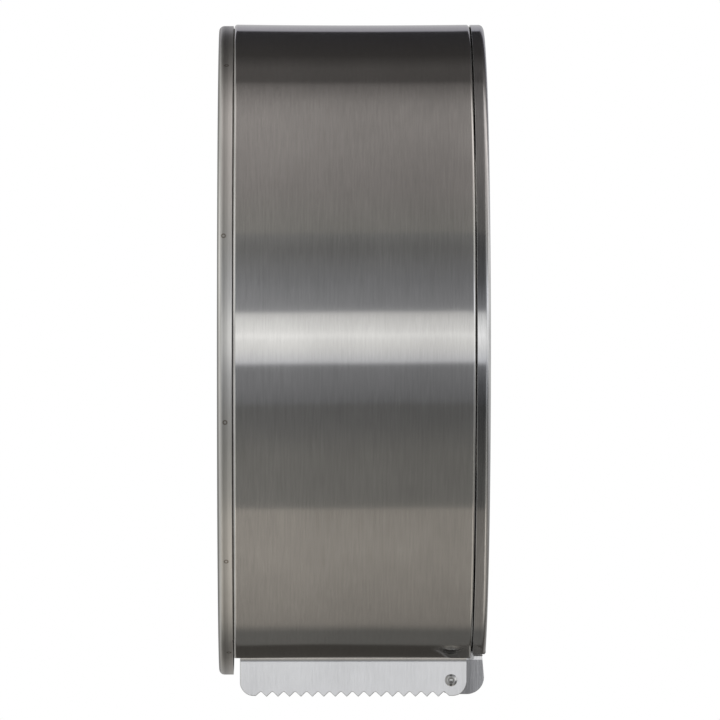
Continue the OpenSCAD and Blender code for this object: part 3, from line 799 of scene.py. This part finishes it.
def bracket_place(u, v, w):
    """Bends the flat bracket: (depth, distance from its middle, distance in from its outer face)."""
    side, v = (1, v) if v >= 0 else (-1, -v)
    centre_z = COVER_FLAT_Z - BRACKET_BEND
    if v <= BRACKET_FLAT_X:
        x, z = v, COVER_FLAT_Z - w
    elif v <= BRACKET_FLAT_X + BRACKET_RUN:
        a = math.pi / 2 - (v - BRACKET_FLAT_X) / BRACKET_BEND
        x = BRACKET_FLAT_X + (BRACKET_BEND - w) * math.cos(a)
        z = centre_z + (BRACKET_BEND - w) * math.sin(a)
    else:
        drop = v - BRACKET_FLAT_X - BRACKET_RUN
        x, z = EAR_OUTER_X - w - ear_lean(drop), centre_z - drop
    return (side * x, -u, z)


def build_bracket():
    """Strip under the cover with an ear bent down at each end."""
    level = BRACKET_FLAT_X + BRACKET_RUN + COVER_FLAT_Z - BRACKET_BEND
    back, front = COVER_FRONT - 5.45 * MM, COVER_FRONT - 1.2 * MM
    pivot = (-PIVOT.y, level - PIVOT.z)
    lobe_r = pivot[0] + EAR_HIGH.y
    ear_front = -EAR_LOW.y
    bottom = level - EAR_LOW.z
    corner_r, relief_r = 7.8 * MM, 1.1 * MM
    relief = (back - relief_r, level - COVER_FLAT_Z + 1.8 * MM)
    half = [(back, BRACKET_FLAT_X + BRACKET_RUN)]
    half += arc(*relief, relief_r, 0, 180, 10)
    half += [(pivot[0], relief[1])]
    half += arc(*pivot, lobe_r, 180, 90, 14)
    half += arc(ear_front - corner_r, bottom - corner_r, corner_r, 90, 0, 14)
    half += [(COVER_FRONT - 1.4 * MM, BRACKET_FLAT_X + BRACKET_RUN)]
    half += arc(front - 0.5 * MM, BRACKET_FLAT_X + BRACKET_RUN - 0.6 * MM, 0.5 * MM, 0, -90, 4)
    half += [(COVER_FRONT - 2.2 * MM, BRACKET_FLAT_X - 0.5 * MM)]
    outline = half[::-1] + [(u, -v) for u, v in half]
    holes = [arc(pivot[0], side * pivot[1], 1.65 * MM, 0, 345, 23) for side in (1, -1)]
    steps = [BRACKET_FLAT_X + BRACKET_RUN * i / 10 for i in range(11)]
    lip = BRACKET_FLAT_X + BRACKET_RUN + LIP_RUN
    steps += [BRACKET_FLAT_X - 0.4 * MM, lip - 0.2 * MM, lip, lip + 0.2 * MM]
    cuts = steps + [-v for v in steps]
    bm = plate(outline, BRACKET_T, 0.15 * MM, holes, cuts, bracket_place)
    piece = make("hinge_bracket_sheet", bm, "front_cover", ["hinge_bracket"], sharp=16)
    paint(piece, ear_steel)


def build_rivets():
    """Blind rivets: a rounded head with a sunk stem outside, an upset tail inside."""
    head_r, shank_r, tail_r = 2.75 * MM, 1.6 * MM, 2.5 * MM
    tail_at = EAR_OUTER_X - BRACKET_T - ear_lean(COVER_FLAT_Z - BRACKET_BEND - PIVOT.z)
    outline = [
        (0, tail_at - 1.1 * MM), (tail_r - 0.5 * MM, tail_at - 1.1 * MM), (tail_r, tail_at - 0.7 * MM),
        (tail_r, tail_at - 0.3 * MM), (tail_r - 0.3 * MM, tail_at - 0.1 * MM), (shank_r, tail_at - 0.1 * MM),
        (shank_r, BLADE_OUTER_X), (head_r - 0.1 * MM, BLADE_OUTER_X),
    ]
    outline += [(r * MM, BLADE_OUTER_X + h * MM) for r, h in (
        (2.75, 0.1), (2.75, 0.38), (2.66, 0.55), (2.4, 0.65), (2.1, 0.74), (1.8, 0.82), (1.56, 0.87),
        (1.45, 0.84), (1.38, 0.7), (1.3, 0.35), (1.12, 0.2), (1.0, 0.26), (0.93, 0.46), (0.75, 0.53),
        (0.35, 0.56), (0, 0.56),
    )]
    for side, name in ((1, "right"), (-1, "left")):
        bm = bmesh.new()
        turned(bm, outline, 64, at=(0, PIVOT.y, PIVOT.z), along=(side, 0, 0))
        piece = make("hinge_rivet_" + name, bm, "housing", ["hinge_rivets"], sharp=50)
        paint(piece, rivet_steel)


build_drum()
build_joining_ring()
build_back_plate()
build_cover()
build_blades()
build_bracket()
build_rivets()


# ---------------------------------------------------------------- camera, floor and light

CAMERA_AWAY = 3.6
# Distance that the camera stands nearer to the wall than its target, so that it looks a little forwards.
CAMERA_TURN = 35.65 * MM
LENS = 390.6
FLOOR_Z = -1.1
FLOOR_HALF = 7.0


def add_camera():
    """Level with the dispenser's middle, looking almost square at its left side."""
    data = bpy.data.cameras.new("camera")
    data.sensor_width = 36
    data.lens = LENS
    data.clip_end = 100
    cam = bpy.data.objects.new("camera", data)
    bpy.context.scene.collection.objects.link(cam)
    height = (TIP_Z + DRUM_R) / 2 - 0.8 * MM
    target = Vector((0, -(DRUM_MID + 3.85 * MM), height))
    cam.location = target + Vector((-CAMERA_AWAY, CAMERA_TURN, 0))
    cam.rotation_euler = (target - cam.location).to_track_quat("-Z", "Y").to_euler()
    bpy.context.scene.camera = cam


# What the steel mirrors, by elevation in degrees: 0 is level on the photographed side, 90 is
# overhead, -90 is below and 180 is level on the far side. Each stop gives the brightness seen
# square to the drum's axis, the brightness to either side of that, the brightness in front of the
# dispenser, and a tint. Behind it, towards the wall, the surroundings are evenly pale.
GREY, COOL, SAND = (1, 1, 1), (0.985, 1.0, 1.055), (1.02, 1.0, 0.95)
TAN, ROSE, BLUE = (1.07, 1.0, 0.915), (1.065, 1.0, 0.975), (1.02, 1.0, 1.12)
SKY = [
    (-180, 0.50, 0.50, 0.60, GREY), (-141.0, 0.20, 0.20, 0.20, TAN), (-140.4, 0.06, 0.05, 0.12, TAN),
    (-128.2, 0.06, 0.05, 0.12, TAN), (-127.6, 0.15, 0.13, 0.20, SAND), (-118, 0.14, 0.17, 0.25, SAND),
    (-113, 0.23, 0.56, 0.30, TAN), (-75, 0.22, 0.85, 0.20, TAN), (-60, 0.17, 0.86, 0.15, TAN),
    (-57.8, 0.165, 0.84, 0.15, TAN), (-57.0, 0.105, 0.50, 0.15, SAND), (-38, 0.075, 0.49, 0.13, SAND),
    (-25, 0.05, 0.38, 0.12, GREY), (-19.4, 0.045, 0.36, 0.12, GREY), (-18.2, 0.055, 0.49, 0.15, COOL),
    (-12, 0.09, 0.55, 0.20, COOL), (-5.0, 0.20, 0.38, 0.50, COOL), (-4.2, 0.75, 0.75, 1.10, COOL),
    (1, 1.05, 0.80, 1.20, GREY), (4.0, 1.15, 0.90, 1.30, GREY), (4.9, 1.32, 1.20, 1.30, GREY),
    (6.3, 1.18, 0.80, 1.30, GREY), (10.6, 0.94, 0.80, 1.35, GREY), (13.0, 0.75, 0.72, 1.35, GREY),
    (13.6, 0.30, 0.42, 1.35, COOL), (16, 0.22, 0.45, 1.30, COOL), (24, 0.10, 0.55, 1.30, COOL),
    (36, 0.07, 0.45, 0.40, GREY), (41.2, 0.09, 0.53, 0.30, GREY), (41.9, 0.12, 0.60, 0.30, SAND),
    (60, 0.15, 0.60, 0.45, ROSE), (70, 0.19, 0.60, 0.60, ROSE), (90, 0.19, 0.85, 1.10, ROSE),
    (98, 0.16, 0.90, 1.25, ROSE), (108.3, 0.12, 0.48, 0.90, ROSE), (109.2, 0.08, 0.13, 0.80, ROSE),
    (118, 0.085, 0.14, 0.35, ROSE), (128, 0.045, 0.05, 0.15, ROSE), (154.6, 0.03, 0.03, 0.15, BLUE),
    (155.4, 0.35, 0.37, 0.60, BLUE), (180, 0.60, 0.60, 0.70, GREY),
]
# The table is read through one colour ramp for each of these spans, which keeps its edges sharp.
SPANS = ((-180, -60), (-60, 60), (60, 180))
# What it mirrors towards the wall, and square to its front and rear, from low to high.
WALL_SIDE = (0.50, 0.50, 0.49, 1)
ENDS_LOW, ENDS_HIGH = (0.42, 0.42, 0.43, 1), (1.05, 1.05, 1.04, 1)


def sky_ramp(tree, angle, column, low, high):
    """One column of the sky between two elevations."""
    ramp = node(tree, "ShaderNodeValToRGB")
    stops = [
        ((stop[0] - low) / (high - low), [stop[column] * c for c in stop[4]])
        for stop in SKY if low <= stop[0] <= high
    ]
    fill_ramp(ramp.color_ramp, stops)
    place = spread(tree, angle, math.radians(low), math.radians(high), 0.0, 1.0, 0)
    link(tree, ((place, 0), (ramp, 0)))
    return ramp


def sky_column(tree, angle, column):
    """One column of the sky, all the way round."""
    colour = (sky_ramp(tree, angle, column, *SPANS[0]), 0)
    for low, high in SPANS[1:]:
        blend = node(tree, "ShaderNodeMix", data_type="RGBA")
        past = maths(tree, "GREATER_THAN", (angle, 0), math.radians(low))
        link(tree, ((past, 0), (blend, "Factor")), (colour, (blend, "A")),
             ((sky_ramp(tree, angle, column, low, high), 0), (blend, "B")))
        colour = (blend, "Result")
    return colour


def add_world():
    """Studio surroundings as a soft picture: banded round the drum's axis, even at its ends."""
    world = bpy.data.worlds.new("studio")
    bpy.context.scene.world = world
    world.use_nodes = True
    tree = world.node_tree
    split = node(tree, "ShaderNodeSeparateXYZ")
    link(tree, ((node(tree, "ShaderNodeTexCoord"), "Generated"), (split, 0)))
    towards = maths(tree, "MULTIPLY", (split, "X"), -1.0)
    angle = maths(tree, "ARCTAN2", (split, "Z"), (towards, 0))
    core, side, front = (sky_column(tree, angle, column) for column in (1, 2, 3))
    wall_side = node(tree, "ShaderNodeRGB")
    wall_side.outputs[0].default_value = WALL_SIDE
    off = (maths(tree, "ABSOLUTE", (split, "Y"), 0), 0)
    ends = node(tree, "ShaderNodeValToRGB")
    ends.color_ramp.elements[0].color = ENDS_LOW
    ends.color_ramp.elements[1].color = ENDS_HIGH
    link(tree, ((spread(tree, split, -0.4, 0.4, 0.0, 1.0, "Z"), 0), (ends, 0)))
    shade = core
    for other, along, start, end in (
        (side, off, 0.05, 0.22),
        (front, (split, "Y"), -0.30, -0.60),
        ((wall_side, 0), (split, "Y"), 0.24, 0.50),
        ((ends, 0), off, 0.70, 0.97),
    ):
        amount = spread(tree, along[0], start, end, 0.0, 1.0, along[1])
        amount.interpolation_type = "SMOOTHSTEP"
        blend = node(tree, "ShaderNodeMix", data_type="RGBA")
        link(tree, ((amount, 0), (blend, "Factor")), (shade, (blend, "A")), (other, (blend, "B")))
        shade = (blend, "Result")
    paths = node(tree, "ShaderNodeLightPath")
    seen = node(tree, "ShaderNodeMix", data_type="RGBA")
    seen.inputs["B"].default_value = (1, 1, 1, 1)
    link(tree, ((paths, "Is Camera Ray"), (seen, "Factor")), (shade, (seen, "A")),
         ((seen, "Result"), (tree.nodes["Background"], "Color")))


def add_floor():
    """Pale floor well below the dispenser, seen only by the camera and from above."""
    bm = bmesh.new()
    bmesh.ops.create_grid(bm, x_segments=8, y_segments=8, size=FLOOR_HALF)
    mesh = bpy.data.meshes.new("floor")
    bm.to_mesh(mesh)
    bm.free()
    floor = bpy.data.objects.new("floor", mesh)
    floor.location.z = FLOOR_Z
    bpy.context.scene.collection.objects.link(floor)
    made = bpy.data.materials.new("floor")
    made.use_nodes = True
    tree = made.node_tree
    tree.nodes.remove(tree.nodes["Principled BSDF"])
    pale = node(tree, "ShaderNodeEmission", in_Strength=1.0)
    away = node(tree, "ShaderNodeVectorMath", operation="LENGTH")
    link(tree, ((node(tree, "ShaderNodeTexCoord"), "Object"), (away, 0)))
    tone = spread(tree, away, 0.5, 5.5, 0.86, 1.0, "Value")
    clear = node(tree, "ShaderNodeBsdfTransparent")
    pick = node(tree, "ShaderNodeMixShader")
    link(tree, ((tone, 0), (pale, "Color")),
         ((node(tree, "ShaderNodeNewGeometry"), "Backfacing"), (pick, 0)),
         ((pale, 0), (pick, 1)), ((clear, 0), (pick, 2)),
         ((pick, 0), (tree.nodes["Material Output"], "Surface")))
    mesh.materials.append(made)
    for way in ("diffuse", "glossy", "transmission", "shadow"):
        setattr(floor, "visible_" + way, False)


def add_lights():
    """Broad soft lights for the plastics and the inside; the steel does not mirror them."""
    for name, place, size, power in (
        ("front", (-0.9, -2.2, 0.9), 1.6, 26.0),
        ("below", (-0.5, -0.9, -1.6), 1.2, 8.0),
    ):
        data = bpy.data.lights.new(name, "AREA")
        data.shape = "DISK"
        data.size = size
        data.energy = power
        lamp = bpy.data.objects.new(name, data)
        lamp.location = place
        lamp.rotation_euler = (-Vector(place)).to_track_quat("-Z", "Y").to_euler()
        lamp.visible_glossy = False
        lamp.visible_camera = False
        bpy.context.scene.collection.objects.link(lamp)


add_camera()
add_world()
add_floor()
add_lights()
bpy.context.scene.view_settings.view_transform = "Standard"
